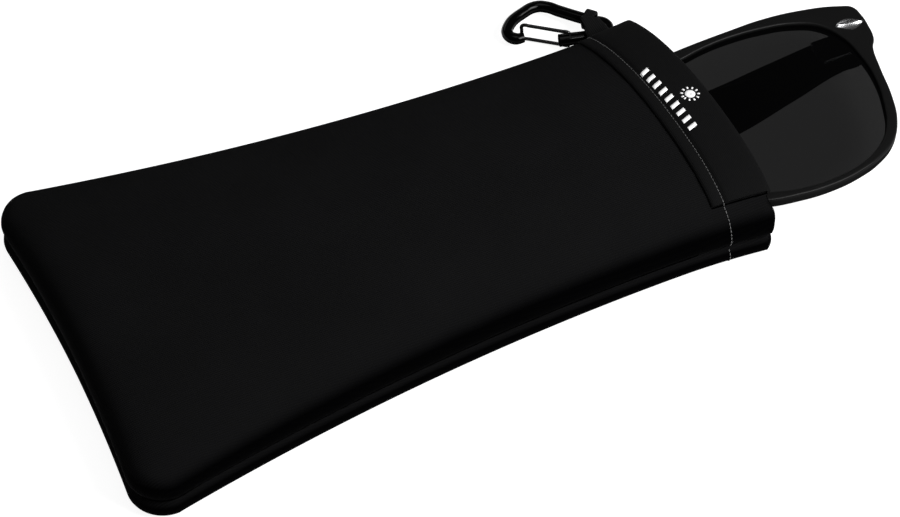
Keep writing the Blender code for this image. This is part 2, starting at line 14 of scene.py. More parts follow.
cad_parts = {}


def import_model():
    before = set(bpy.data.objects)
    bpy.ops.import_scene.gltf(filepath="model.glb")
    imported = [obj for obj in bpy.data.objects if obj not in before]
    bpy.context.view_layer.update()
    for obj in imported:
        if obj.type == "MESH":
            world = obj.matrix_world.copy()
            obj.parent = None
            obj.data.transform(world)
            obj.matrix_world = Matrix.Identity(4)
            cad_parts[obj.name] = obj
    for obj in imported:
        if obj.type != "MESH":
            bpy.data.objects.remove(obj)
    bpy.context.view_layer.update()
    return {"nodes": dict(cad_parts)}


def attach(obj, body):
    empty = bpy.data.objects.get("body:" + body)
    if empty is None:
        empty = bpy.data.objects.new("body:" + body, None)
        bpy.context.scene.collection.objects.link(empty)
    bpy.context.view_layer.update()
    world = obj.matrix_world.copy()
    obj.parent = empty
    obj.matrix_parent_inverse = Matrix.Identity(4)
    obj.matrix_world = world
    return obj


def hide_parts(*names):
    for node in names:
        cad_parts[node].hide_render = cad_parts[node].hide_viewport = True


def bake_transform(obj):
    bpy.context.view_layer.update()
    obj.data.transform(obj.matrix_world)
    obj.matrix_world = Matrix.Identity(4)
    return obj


MM = 0.001
CENTRE = (107.691, 5.293)  # the frame's origin in the sleeve's plan

# Sleeve
LENGTH = 165.0
END_HALF = 49.2
MOUTH_HALF = 35.1
WAIST = 5.5  # how far the sides draw in half way along
MOUTH_FLARE = 1.2
FLARE_FROM = 0.85
END_HOLLOW = 4.1
END_POWER = 1.9
CORNER_R = 8.5
CORNER_X = 10.9  # the middle of each closed corner's arc
CORNER_TURN = (88, 185)  # degrees round a corner, from the side to the closed end's curve
SIDE_REACH = 2.0  # the sides' points start this far past the mouth and end this far before a corner
EDGE_R = 2.6
EDGE_TURNS = np.radians(np.linspace(-90, 90, 13))  # round a panel's half-round edge
FACE_SHARES = (  # of a panel's outline: the rings of its face, drawn in towards its middle
    0.985, 0.965, 0.94, 0.91, 0.87, 0.82, 0.75, 0.66, 0.55, 0.43, 0.3, 0.18, 0.06,
)
FLOOR_SHARES = (0.1, 0.5, 1.0)  # the same for the floor of the space inside
SEAM_GAP = 0.3
SEAM_Z = 2 * EDGE_R + SEAM_GAP / 2
TOP_WALL = 1.6
BOTTOM_WALL = 2.3
SIDE_WALL = 1.8
SEAM_WALL = 3.4
WALL_ROUNDING = 1.2
WALL_FROM = 1.9  # height above the seam where the side wall reaches its own thickness
MOUTH_RISE = 7.1
RISE_POWER = 0.15
RISE_RUN = 5.0
CROWN_POWER = 0.7
CROWN_NEAR = 4.0  # how squarely the bulge falls to the near side and to the far side
CROWN_FAR = 2.2
MOUTH_BOW = 2.8
BOW_MIDDLE = -12.0
BOW_HALF = 41.0
LIP = 0.9  # the panels' cut ends lie this far behind the casings' front
TOP_CORNER = 3.0  # the panels' cut ends are rounded off at the sides
BOTTOM_CORNER = 4.0
LIP_ROUND_Y = (-30.0, -33.0)  # their near ends are rounded in height too, from none to all of it
OVERRUN = 12.0  # the panels are made this much too long, then cut along the mouth
TRIM_HALF = 60.0  # the cutters reach this far past the mouth and to each side
TRIM_HEIGHTS = (-10.0, 40.0)
TRIM_SPAN = 14.0  # their finely stepped part is taller than either panel
TRIM_STEP = 0.4
CLEARANCE = 0.3
UNEVEN = 0.44  # times noise from -1 to 1: how far the top panel's face swells and dips
UNEVEN_SIZE = 26.0
UNEVEN_STRETCH = 1.6
UNEVEN_LAYER = 3.0  # which slice of the noise is used
UNEVEN_FADE = 8.0
UNEVEN_END = 150.0  # it has died out here, before the casing
SKIN_STEP = 0.01  # each way along skin(), to find its normal

# Casings: distance back from the mouth's edge and height above the panel, round the outside then back
CASING_BACK = 14.5
CASING_OUTER = (
    (14.5, 0.35), (14.3, 0.7), (13.6, 0.85), (12.3, 0.85), (11.75, 0.72), (11.4, 0.72), (11.0, 1.15),
    (10.3, 1.4), (7.5, 1.42), (4.0, 1.42), (1.4, 1.4), (0.6, 1.25), (0.15, 0.85), (0.0, 0.3), (0.0, -1.6),
)
CASING_INNER = ((0.6, -1.6), (0.6, 0.4), (1.1, 0.9), (10.4, 0.9), (11.6, 0.3))
CASING_NEAR_Y = -29.5
CASING_WRAP = 1.12  # how far round the far edge the top casing goes, where 2 is the seam
CASING_THIN = (0.85, 0.35)  # from here on it thins to this share at its far end
LOWER_CASING = 0.45
LOWER_CASING_Y = (-29.5, 32.0)
LOWER_FOLD = 0.6  # the lower casing's fold in front of the panel's cut edge
LOWER_CASING_PROFILE = (
    (CASING_BACK, 0.15), (CASING_BACK, LOWER_CASING), (LOWER_FOLD, LOWER_CASING),
    (LOWER_FOLD, BOTTOM_WALL), (0.1, BOTTOM_WALL), (0.0, BOTTOM_WALL - 0.1), (0.0, 0.4), (0.12, 0.1),
    (0.4, 0.0), (CASING_BACK - 0.4, 0.0),
)
RECESS_DEPTH = 1.2
CASING_MIDDLE = 7.0  # back from the mouth's edge

# Stitching and print
STITCH_BACK = 11.6
STITCH_PITCH = 0.95
STITCH_LENGTH = 0.7
STITCH_R = 0.11
STITCH_PROFILE = ((-0.5, 0.35), (-0.38, 0.9), (0, 1.05), (0.38, 0.9), (0.5, 0.35))  # along, across
STITCH_FAR = (1.6, 1.14)  # the light row's ends on the far edge, as places along skin()
STITCH_NEAR = -0.85  # its end on the near edge
STITCH_NEAR_GAP = 0.01
STITCH_LIFT = 0.1
CASING_STITCH_LIFT = 0.05
UNDER_STITCH_Z = 0.09
UNDER_STITCH_INSET = 1.0
LOWER_STITCH_TURN = (55, -80)  # degrees round the bottom panel's near edge
LINE_STEP = 0.2  # ahead along a line, to find its direction
# A black line along the top casing's near end is a painted shadow of the gap under that end.
END_SHADOW_R = 0.17
END_SHADOW_GAP = 0.004  # along skin(), from the casing's near end
END_SHADOW_LIFT = 0.12
END_SHADOW_FRONT = 0.9  # it stops this far behind the mouth's edge
SEAM_THREAD_R = 0.32
SEAM_THREAD_INSET = 1.6
SEAM_THREAD_END = 148.0
MARK_BACK = 9.55
MARK_LEAN = 0.04  # the row of bars runs a little askew
MARK_Y = (-8.0, 12.4)
MARK_BARS = 9
BAR_SIZE = (1.15, 2.4)
BAR_SLANT = 0.9
SUN_CENTRE = (4.6, 1.2)
SUN_RADIUS = 1.2
SUN_RAYS = 10
SUN_MIDDLE = 0.02  # the sun's disc has a tiny hole, so that its faces have four corners
RAY_REACH = (0.4, 1.05)  # from the sun's edge to a ray's two ends
RAY_TURN = 0.1  # half a ray's width, in radians
PRINT_LIFT = 0.05
PRINT_THICK = 0.03

# Webbing loop and carabiner
LOOP_X = (153.0, 158.8)
LOOP_THICKNESS = 0.8
LOOP_TAIL_Y = 33.0
LOOP_BEND_Y = 38.5
LOOP_SLOT_END = 44.4  # past the panels' sides
LOOP_EDGES = ((0.0, 0.22), (0.04, 0.06), (0.96, 0.06), (1.0, 0.22))  # share of width, how much thinner
ROD_R = 1.5  # the strap leaves room for this
ROD_Z = 3.0
GATE_WIRE_R = 0.45
GATE_LEG_Z = 2.3
GATE_PIVOT = (149.7, 42.6)
GATE_END = (140.4, 49.9)
GATE_ROOT_SHARES = (0.05, 0.85)  # the gate's wire in its pivot: shares of the way out to a leg
GATE_LEG_SHARES = (0.03, 0.15, 0.5, 0.85, 0.95)  # shares of the way along a leg
GATE_NOSE_SHARES = (0.8, 0.2)  # back in from the leg's end to the middle
SPINE_POINT = (154.7, 48.9)  # a point of the spine's straight line
SPINE_SLOPE = -1.1
WRAP_X = (156.2, 158.0)  # where the strap's two edges cross the spine
WRAP_TURN = (112, -140)  # degrees round the spine
KNEE_REACH = 3.0  # from the spine back to where the strap turns towards the seam
KNEE_SPREAD = 2.4  # its upper side is this much wider there than round the spine
HOLE_SHARES = (-0.8, 1.6)  # the rod's hole in the strap runs out past both edges
CARABINER_LINE = (
    (147.3, 43.2), (149.7, 42.6), (153.2, 41.76), (157.0, 41.0), (159.6, 41.5), (160.1, 43.2),
    (157.5, 45.8), (151.6, 52.3), (149.8, 54.5), (147.3, 55.9), (143.3, 55.3), (138.4, 52.9),
    (136.9, 50.2), (137.9, 48.3), (140.0, 47.8),
)
ROD_OWN_R = 1.47
ROD_SWELL = {0: 1.08, 1: 1.1, len(CARABINER_LINE) - 1: 0.85}  # wider at the pivot, slimmer at the nose

# Sunglasses
GLASSES_AT = (137.5, 0, 12.4)
GLASSES_TILT = 3.0
GLASSES = Matrix.Translation(GLASSES_AT) @ Matrix.Rotation(math.radians(GLASSES_TILT), 4, "X")
FRONT_HALF = 75.3
FRONT_THICK = 3.0
FRONT_EDGE_R = 0.55
FRONT_SAG = 1.0
PAD_CENTRE = (11.5, -15)
PAD_REACH = (4.5, 9)
PAD_HEIGHT = 1.3
PAD_FROM = 0.6  # the pads move only what lies behind this share of the front's thickness
BROW_LINE = (
    (0, 16.5), (14, 17.6), (28, 19.1), (43.6, 19.8), (51.9, 19.9), (62.1, 18.8), (71.8, 16.3), (74.6, 14.8),
    (75.39, 11.5), (75.3, 8.5), (74.5, 4.1),
)
RIM_LINE = (
    (72.8, 1.4), (71.3, -4.3), (69.3, -13.9), (66.8, -20.6), (62.9, -25.7), (57.5, -29.0), (50.9, -31.0),
    (42.5, -31.9), (34.7, -31.4), (26.5, -29.8), (18.5, -26), (12.3, -19.5), (9, -11), (5.5, -2.5), (0, 1.6),
)
OPENING_LINE = (
    (28.7, 16.1), (36, 17.3), (43, 17.6), (50.4, 17.1), (58.3, 15.5), (64, 12.5), (67.3, 7.2), (68.5, 0.4),
    (68.3, -6.8), (66.4, -14.4), (63.1, -21.5), (59.2, -25.4), (53.5, -28.4), (46, -29.9), (38, -29.9),
    (29.8, -28.1), (21.5, -24.3), (15.7, -18), (12.6, -9), (12.2, 1), (14, 9), (20, 14.5),
)
LENS_SHRINK = 1.004  # each lens's edge is hidden in its rim
LENS_THICK = 1.8
LENS_EDGE_R = 0.15
LENS_MIDDLE = -1.6
STUD_CENTRE = (70.9, 10.0)
STUD_SIZE = (7.2, 3.4)
STUD_HEIGHT = 0.5
STUD_GAP = 0.05
STUD_LEAN = 0.16  # its outer point lies lower than its inner one
STUD_POINT = 1.2  # more makes its ends more pointed
STUD_TIP = 0.05
STUD_RINGS = (  # shares of its length, of its width and of its height
    (1.0, 1.0, 0.0), (1.0, 1.0, 0.15), (0.96, 0.4, 0.35), (0.9, 0.14, 0.9), (0.86, 0.02, 1.0),
)
HINGE_U = 71.3
HINGE_N = -4.3
ARM_THICK = 2.2
ARM_OFFSET = 2.4
ARM_STACK = 2.5  # the folded arms lie this far apart, one over the other
ARM_LEAN = math.atan(ARM_STACK / (2 * HINGE_U))
ARM_LINE = (
    (0.2, 2.7), (-0.8, 3.3), (-1, 5), (-1, 10.5), (-0.8, 12.1), (0.2, 12.6), (5, 12.6), (20, 11.6),
    (39, 10.1), (85, 9.4), (107, 8.0), (118, 6.2), (121.9, 2.8), (118, -0.6), (107, -2.2), (85, -4.0),
    (60, -4.6), (39, -4.1), (20, -0.4), (5, 2.7),
)
ARM_EDGE_R = 0.7
SIDES = {"right": 1, "left": -1}

# Colours
# KNIT_PAINTED_SHADE is painted shade, given to the knit where its faces turn steep.
KNIT_PAINTED_SHADE = (0.0003, 0.0003, 0.0004)
KNIT_LIGHT = (0.0095, 0.0095, 0.0099)
TAPE_DARK = (0.0056, 0.0056, 0.0058)
TAPE_LIGHT = (0.0082, 0.0082, 0.0084)
# The webbing's two colours are painted shade in the weave's hollows and painted light on its crossings.
WEAVE_DARK = (0.008, 0.008, 0.0082)
WEAVE_LIGHT = (0.02, 0.02, 0.02)
LIGHT_THREAD = (0.13, 0.13, 0.13)
# Black for the seam thread, and for the painted shadow line along the casing's near end.
DARK_THREAD_AND_SHADOW = (0.0003, 0.0003, 0.0003)
ENAMEL = (0.0008, 0.0008, 0.0008)
WIRE = (0.004, 0.004, 0.004)
ACETATE = (0.0072, 0.0072, 0.0072)
LENS_GREY = (0.0012, 0.0012, 0.0013)
SILVER = (0.7, 0.7, 0.71)
STEEL = (0.55, 0.56, 0.58)

# Camera, in the sleeve's plan
CAMERA_AT = (-104.788, -431.258, 566.540)
CAMERA_AIM = (94.904, -5.779, 0.0)
CAMERA_LENS = 127.29

# Room: each light's place, aim, size and power, in the frame, in metres and watts
FLOOR_HALF = 3.0
FLOOR_Z = -0.0004
FLOOR_GLOW = 0.92
ROOM_GLOW = 0.04
LIGHTS = {
    "key": ((0.27, -0.3, 0.4), (0.02, -0.01, 0), (0.35, 0.25), 3.0),
    "overhead": ((0.0, -0.1, 1.1), (0, 0, 0), (0.6, 0.6), 1.0),
    "far_strip": ((0.05, 0.75, 0.4), (0.02, 0, 0), (0.9, 0.08), 0.35),
}


# ---------------------------------------------------------------- materials

def new_material(name, colour, roughness, metallic=0.0, specular=0.5):
    made = bpy.data.materials.new(name)
    made.use_nodes = True
    shader = made.node_tree.nodes["Principled BSDF"]
    shader.inputs["Base Color"].default_value = (*colour, 1.0)
    shader.inputs["Roughness"].default_value = roughness
    shader.inputs["Metallic"].default_value = metallic
    shader.inputs["Specular IOR Level"].default_value = specular
    return made, made.node_tree, shader


def object_coordinates(tree, scale=(1, 1, 1)):
    source = tree.nodes.new("ShaderNodeTexCoord")
    mapping = tree.nodes.new("ShaderNodeMapping")
    mapping.inputs["Scale"].default_value = scale
    tree.links.new(source.outputs["Object"], mapping.inputs["Vector"])
    return mapping.outputs["Vector"]


def noise_value(tree, vector, scale, detail):
    node = tree.nodes.new("ShaderNodeTexNoise")
    node.inputs["Scale"].default_value = scale
    node.inputs["Detail"].default_value = detail
    tree.links.new(vector, node.inputs["Vector"])
    return node.outputs["Fac"]


def ridges(tree, vector, pitch_mm, direction):
    """A sine across the given direction, one ridge each pitch. At scale 1 its pitch is tau / 20."""
    node = tree.nodes.new("ShaderNodeTexWave")
    node.bands_direction = direction
    node.inputs["Scale"].default_value = math.tau / (20 * pitch_mm * MM)
    node.inputs["Distortion"].default_value = 0.6
    node.inputs["Detail"].default_value = 1.0
    tree.links.new(vector, node.inputs["Vector"])
    return node.outputs["Fac"]


def times(tree, first, second):
    node = tree.nodes.new("ShaderNodeMath")
    node.operation = "MULTIPLY"
    tree.links.new(first, node.inputs[0])
    tree.links.new(second, node.inputs[1])
    return node.outputs["Value"]


def spread(tree, value, low, high):
    """The value from 0 to 1 stretched to run from low to high."""
    node = tree.nodes.new("ShaderNodeMapRange")
    node.inputs["To Min"].default_value = low
    node.inputs["To Max"].default_value = high
    tree.links.new(value, node.inputs["Value"])
    return node.outputs["Result"]


def colours(tree, shader, value, dark, light):
    """Base colour that runs from dark to light with the value."""
    ramp = tree.nodes.new("ShaderNodeValToRGB")
    ramp.color_ramp.elements[0].color = (*dark, 1.0)
    ramp.color_ramp.elements[1].color = (*light, 1.0)
    ramp.color_ramp.elements[0].position = 0.3
    ramp.color_ramp.elements[1].position = 0.7
    tree.links.new(value, ramp.inputs["Fac"])
    tree.links.new(ramp.outputs["Color"], shader.inputs["Base Color"])


def bump(tree, shader, height, depth_mm):
    node = tree.nodes.new("ShaderNodeBump")
    node.inputs["Strength"].default_value = 1.0
    node.inputs["Distance"].default_value = depth_mm * MM
    tree.links.new(height, node.inputs["Height"])
    tree.links.new(node.outputs["Normal"], shader.inputs["Normal"])


def painted_slope_shade(tree):
    """High on level faces, less on steep ones: a mask for painted shade on the faces that turn from the
    light.
    """
    geometry = tree.nodes.new("ShaderNodeNewGeometry")
    parts = tree.nodes.new("ShaderNodeSeparateXYZ")
    tree.links.new(geometry.outputs["Normal"], parts.inputs["Vector"])
    return spread(tree, parts.outputs["Z"], low=0.0, high=0.66)


def neoprene():
    """Knit-faced foam: fine ribs along the sleeve, crossed by a weaker stitch pattern."""
    made, tree, shader = new_material("knit_neoprene", KNIT_LIGHT, roughness=0.8, specular=0.01)
    vector = object_coordinates(tree)
    ribs = ridges(tree, vector, pitch_mm=0.5, direction="Y")
    cross = ridges(tree, vector, pitch_mm=0.45, direction="X")
    broad = spread(tree, noise_value(tree, vector, scale=60, detail=4), low=0.92, high=1.08)
    # The colour falls to near black on steep faces: painted shade on the sides turned from the light. The
    # broad noise varies the tone at random.
    colours(tree, shader, times(tree, broad, painted_slope_shade(tree)), KNIT_PAINTED_SHADE, KNIT_LIGHT)
    tree.links.new(spread(tree, broad, low=0.72, high=0.9), shader.inputs["Roughness"])
    bump(tree, shader, times(tree, ribs, spread(tree, cross, low=0.7, high=1.0)), depth_mm=0.09)
    return made


def casing_tape():
    """Smooth ribbed tape."""
    made, tree, shader = new_material("casing_tape_cloth", TAPE_LIGHT, roughness=0.75, specular=0.01)
    vector = object_coordinates(tree)
    ribs = ridges(tree, vector, pitch_mm=0.4, direction="X")
    fuzz = noise_value(tree, vector, scale=420, detail=5)
    shade = times(tree, spread(tree, ribs, low=0.6, high=1.0), spread(tree, fuzz, low=0.6, high=1.3))
    colours(tree, shader, shade, TAPE_DARK, TAPE_LIGHT)
    bump(tree, shader, times(tree, ribs, fuzz), depth_mm=0.05)
    return made


def webbing():
    """Plain woven webbing: ribs across the strap, broken by its warp."""
    made, tree, shader = new_material("webbing_weave", WEAVE_LIGHT, roughness=0.8, specular=0.02)
    vector = object_coordinates(tree)
    ribs = ridges(tree, vector, pitch_mm=0.5, direction="X")
    warp = ridges(tree, vector, pitch_mm=0.4, direction="Y")
    weave = times(tree, ribs, warp)
    # The colour follows the weave's height: painted light on its raised crossings and painted shade in its
    # hollows.
    colours(tree, shader, weave, WEAVE_DARK, WEAVE_LIGHT)
    bump(tree, shader, weave, depth_mm=0.06)
    return made


def thread(name, colour, specular):
    made, tree, shader = new_material(name, colour, roughness=0.6, specular=specular)
    along = object_coordinates(tree, scale=(1, 1, 0.4))
    bump(tree, shader, ridges(tree, along, pitch_mm=0.3, direction="DIAGONAL"), depth_mm=0.05)
    return made


def ink():
    made, tree, shader = new_material("white_print", (0.9, 0.9, 0.9), roughness=0.55, specular=0.2)
    # The print glows a little: painted light that keeps it bright white.
    shader.inputs["Emission Color"].default_value = (1.0, 1.0, 1.0, 1.0)
    shader.inputs["Emission Strength"].default_value = 0.35
    grain = noise_value(tree, object_coordinates(tree), scale=1500, detail=2)
    bump(tree, shader, grain, depth_mm=0.02)
    return made


def gloss_black(name, colour, roughness, speck, shine):
    """Enamel or acetate: near black, with faint waves and fine scuffs in its gloss."""
    made, tree, shader = new_material(name, colour, roughness, specular=shine)
    vector = object_coordinates(tree)
    scuffs = noise_value(tree, vector, scale=speck, detail=6)
    worn = spread(tree, scuffs, low=roughness * 0.8, high=roughness * 1.3)
    tree.links.new(worn, shader.inputs["Roughness"])
    # The gloss fades on steep faces: painted shade, so that sides turned from the light reflect little.
    gloss = spread(tree, painted_slope_shade(tree), low=0.0, high=shine * 1.5)
    tree.links.new(gloss, shader.inputs["Specular IOR Level"])
    bump(tree, shader, noise_value(tree, vector, scale=speck / 6, detail=2), depth_mm=0.02)
    return made


def tinted_lens():
    """Dark grey tint that lets a little of the white floor through."""
    made, tree, shader = new_material("grey_lens", LENS_GREY, roughness=0.06, specular=0.1)
    fade = noise_value(tree, object_coordinates(tree), scale=9, detail=1)
    tree.links.new(spread(tree, fade, low=0.872, high=0.882), shader.inputs["Alpha"])
    return made


def bright_metal(name, colour, roughness):
    made, tree, shader = new_material(name, colour, roughness, metallic=1.0)
    vector = object_coordinates(tree, scale=(1, 6, 1))
    brushed = noise_value(tree, vector, scale=900, detail=3)
    worn = spread(tree, brushed, low=roughness * 0.7, high=roughness * 1.4)
    tree.links.new(worn, shader.inputs["Roughness"])
    bump(tree, shader, brushed, depth_mm=0.01)
    return made


# ---------------------------------------------------------------- mesh helpers

def piece(name, mesh, look, body, *stands_for, slot, smooth_angle=40):
    """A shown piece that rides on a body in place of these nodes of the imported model."""
    obj = bpy.data.objects.new(name, mesh)
    bpy.context.scene.collection.objects.link(obj)
    mesh.materials.clear()
    mesh.materials.append(look)
    mesh.shade_smooth()
    mesh.set_sharp_from_angle(angle=math.radians(smooth_angle))
    if stands_for:
        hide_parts(*stands_for)
    if body:
        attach(obj, body)
    return obj


def to_frame(bm, matrix):
    """Moves millimetres in the plan, or in the matrix's own space, to metres in the frame."""
    shift = Matrix.Translation((-CENTRE[0] * MM, -CENTRE[1] * MM, 0)) @ Matrix.Scale(MM, 4)
    bmesh.ops.transform(bm, matrix=shift @ matrix, verts=bm.verts)


def at(x, y, z):
    """A point of the plan in the frame, in metres."""
    return Vector(((x - CENTRE[0]) * MM, (y - CENTRE[1]) * MM, z * MM))


def mesh_of(bm, name, matrix=Matrix.Identity(4)):
    bmesh.ops.recalc_face_normals(bm, faces=bm.faces)
    to_frame(bm, matrix)
    mesh = bpy.data.meshes.new(name)
    bm.to_mesh(mesh)
    bm.free()
    return mesh


def loft(sections, into=None):
    """A closed solid through sections that have the same number of points."""
    bm = into or bmesh.new()
    rings = [[bm.verts.new(point) for point in section] for section in sections]
    count = len(rings[0])
    for first, second in zip(rings, rings[1:]):
        for i in range(count):
            bm.faces.new((first[i], first[(i + 1) % count], second[(i + 1) % count], second[i]))
    bm.faces.new(rings[0])
    bm.faces.new(rings[-1])
    return bm


def cut_by(mesh, cutters):
    """The mesh less the cutters, which are bmeshes in plan millimetres."""
    target = bpy.data.objects.new("target", mesh)
    bpy.context.scene.collection.objects.link(target)
    tools = []
    for bm in cutters:
        tool = bpy.data.objects.new("tool", mesh_of(bm, "tool"))
        bpy.context.scene.collection.objects.link(tool)
        tools.append(tool)
        step = target.modifiers.new("cut", "BOOLEAN")
        step.solver = "EXACT"
        step.object = tool
    bpy.context.view_layer.update()
    graph = bpy.context.evaluated_depsgraph_get()
    result = bpy.data.meshes.new_from_object(target.evaluated_get(graph))
    for obj in [target, *tools]:
        bpy.data.objects.remove(obj, do_unlink=True)
    return result


def flat_shape(splines, half_thickness, edge_r, edge_detail=3):
    """A flat outline, with any holes in it, given a thickness and rounded edges, in millimetres."""
    data = bpy.data.curves.new("outline", "CURVE")
    data.dimensions = "2D"
    data.fill_mode = "BOTH"
    data.resolution_u = 8
    data.extrude = half_thickness - edge_r
    data.bevel_depth = edge_r
    data.bevel_resolution = edge_detail
    data.offset = -edge_r
    for points in splines:
        spline = data.splines.new("BEZIER")
        spline.use_cyclic_u = True
        spline.bezier_points.add(len(points) - 1)
        for knot, point in zip(spline.bezier_points, points):
            knot.co = (point[0], point[1], 0)
            knot.handle_left_type = "AUTO"
            knot.handle_right_type = "AUTO"
    return bmesh_of_curve(data)


def tube(points, radius, detail, roundness, swell=None):
    """A bent rod along a smooth line through the points. swell gives some points a share of the radius."""
    data = bpy.data.curves.new("line", "CURVE")
    data.dimensions = "3D"
    data.resolution_u = detail
    data.bevel_depth = radius
    data.bevel_resolution = roundness
    data.use_fill_caps = True
    spline = data.splines.new("BEZIER")
    spline.bezier_points.add(len(points) - 1)
    for knot, point in zip(spline.bezier_points, points):
        knot.co = point
        knot.handle_left_type = "AUTO"
        knot.handle_right_type = "AUTO"
    for i, share in (swell or {}).items():
        spline.bezier_points[i].radius = share
    return bmesh_of_curve(data)


def bmesh_of_curve(data):
    guide = bpy.data.objects.new("guide", data)
    bpy.context.scene.collection.objects.link(guide)
    bpy.context.view_layer.update()
    graph = bpy.context.evaluated_depsgraph_get()
    mesh = bpy.data.meshes.new_from_object(guide.evaluated_get(graph))
    bpy.data.objects.remove(guide, do_unlink=True)
    bm = bmesh.new()
    bm.from_mesh(mesh)
    bmesh.ops.remove_doubles(bm, verts=bm.verts, dist=0.01)
    bpy.data.meshes.remove(mesh)
    return bm


# ---------------------------------------------------------------- sleeve

def half_width(x):
    s = x / LENGTH
    flare = MOUTH_FLARE * max(0.0, (min(s, 1.0) - FLARE_FROM) / (1 - FLARE_FROM)) ** 2
    return END_HALF + (MOUTH_HALF - END_HALF) * s - 4 * WAIST * s * (1 - s) + flare


def mouth_x(y):
    return LENGTH - MOUTH_BOW * ((y - BOW_MIDDLE) / BOW_HALF) ** 2


def rise(x, y):
    """How far the top panel bulges above its edge."""
    along = min(max(x / LENGTH, 0.0), 1.0) ** RISE_POWER * (1 - math.exp(-((x / RISE_RUN) ** 2)))
    across = min(abs(y) / half_width(x), 1.0)
    squareness = CROWN_NEAR if y < 0 else CROWN_FAR
    return MOUTH_RISE * along * (1 - across ** squareness) ** CROWN_POWER


def panel_top(x, y):
    return SEAM_Z + SEAM_GAP / 2 + 2 * EDGE_R + rise(x, y)


def plan_outline(overrun):
    """The sleeve's outline seen from above, anticlockwise, running past the mouth by overrun."""
    places = [LENGTH + overrun] + list(np.linspace(LENGTH + SIDE_REACH, CORNER_X + SIDE_REACH, 70))
    side = [(x, half_width(x)) for x in places]
    centre_y = half_width(CORNER_X) - CORNER_R
    corner = [
        (CORNER_X + CORNER_R * math.cos(a), centre_y + CORNER_R * math.sin(a))
        for a in np.radians(np.linspace(*CORNER_TURN, 24))
    ]
    start_x, start_y = corner[-1]
    end = [
        (END_HOLLOW - (END_HOLLOW - start_x) * (y / start_y) ** END_POWER, y)
        for y in np.linspace(start_y, 0, 24)[1:]
    ]
    half = side + corner + end
    mirrored = [(x, -y) for x, y in reversed(half[:-1])]
    mouth = [(LENGTH + overrun, y) for y in np.linspace(-half[0][1], half[0][1], 8)[1:-1]]
    return np.array(half + mirrored + mouth)


def inset_outline(points, inset):
    along = np.roll(points, -1, axis=0) - np.roll(points, 1, axis=0)
    along /= np.linalg.norm(along, axis=1)[:, None]
    inward = np.stack([-along[:, 1], along[:, 0]], axis=1)
    return points + inset * inward


def shrink_outline(points, share):
    middle = np.array([LENGTH / 2, 0.0])
    return middle + (points - middle) * share


def panel_sections(height_at):
    """Rings of a panel: its lower side from the middle out, its half-round edge, then its upper side."""
    outline = plan_outline(OVERRUN)
    face = inset_outline(outline, EDGE_R)
    rings = [(shrink_outline(face, share), 0.0) for share in reversed(FACE_SHARES)]
    for turn in EDGE_TURNS:
        inset = EDGE_R * (1 - math.cos(turn))
        rings.append((inset_outline(outline, inset), EDGE_R * (1 + math.sin(turn))))
    rings += [(shrink_outline(face, share), 2 * EDGE_R) for share in FACE_SHARES]
    return [[(x, y, height_at(x, y, h)) for x, y in ring] for ring, h in rings]


def swelling(x, y):
    """Slight unevenness of the soft panel, dying out at its edges and under the casing."""
    from_side = half_width(x) - abs(y) - EDGE_R
    away = min(1.0, max(0.0, min(from_side, UNEVEN_END - x) / UNEVEN_FADE))
    return UNEVEN * away * noise.noise(Vector((x, y * UNEVEN_STRETCH, UNEVEN_LAYER)) / UNEVEN_SIZE)


def cavity():
    """The space inside the sleeve, open at the mouth."""
    outline = plan_outline(2 * OVERRUN)
    floor = inset_outline(outline, SEAM_WALL + WALL_ROUNDING)
    seam = inset_outline(outline, SEAM_WALL)
    walls = inset_outline(outline, SIDE_WALL)
    roof = inset_outline(outline, SIDE_WALL + WALL_ROUNDING)
    sections = [[(x, y, BOTTOM_WALL) for x, y in shrink_outline(floor, share)] for share in FLOOR_SHARES]
    sides = ((seam, BOTTOM_WALL + WALL_ROUNDING), (seam, SEAM_Z + CLEARANCE), (walls, SEAM_Z + WALL_FROM))
    for ring, height in sides:
        sections.append([(x, y, height) for x, y in ring])
    sections.append([(x, y, panel_top(x, y) - TOP_WALL - WALL_ROUNDING) for x, y in walls])
    for share in (1.0,) + FACE_SHARES:
        sections.append([(x, y, panel_top(x, y) - TOP_WALL) for x, y in shrink_outline(roof, share)])
    return loft(sections)


def corner_setback(y, corner):
    """How far the cut along the mouth rounds back at a panel's side edges."""
    over = max(0.0, (abs(y) - half_width(LENGTH)) / corner + 1)
    return corner * (1 - math.sqrt(max(0.0, 1 - over * over)))


def near_end(y):
    """0 under the casing, 1 at the panels' bare near ends."""
    start, end = LIP_ROUND_Y
    return min(1.0, max(0.0, (start - y) / (start - end)))


def lip_setback(y, z, low, high):
    """How far back the cut lies at this height, between the panel's lower and upper face."""
    over = max(0.0, low + EDGE_R - z, z + EDGE_R - high) / EDGE_R
    rounding = EDGE_R * (1 - math.sqrt(1 - min(over, 1.0) ** 2))
    return LIP + near_end(y) * (rounding - LIP)


def trim_outline(edge):
    """All that lies beyond an edge line at the mouth."""
    return edge + [(LENGTH + TRIM_HALF, edge[-1][1]), (LENGTH + TRIM_HALF, edge[0][1])]


def mouth_trim(low, high_at, corner):
    """The cut along the mouth of a panel that lies between the height low and high_at(y)."""
    half = half_width(LENGTH)
    bend = np.linspace(-half, -half + corner, 12)
    inner = half - corner - TRIM_STEP
    places = list(bend) + list(np.linspace(-inner, inner, 55)) + list(-bend[::-1])
    levels = [TRIM_HEIGHTS[0]] + list(np.linspace(low, low + TRIM_SPAN, 57)) + [TRIM_HEIGHTS[1]]
    sections = []
    for z in levels:
        edge = []
        for y in places:
            setback = corner_setback(y, corner) + lip_setback(y, z, low, high_at(y))
            edge.append((mouth_x(y) - setback, y))
        edge = [(edge[0][0], -TRIM_HALF)] + edge + [(edge[-1][0], TRIM_HALF)]
        sections.append([(x, y, z) for x, y in trim_outline(edge)])
    return loft(sections)


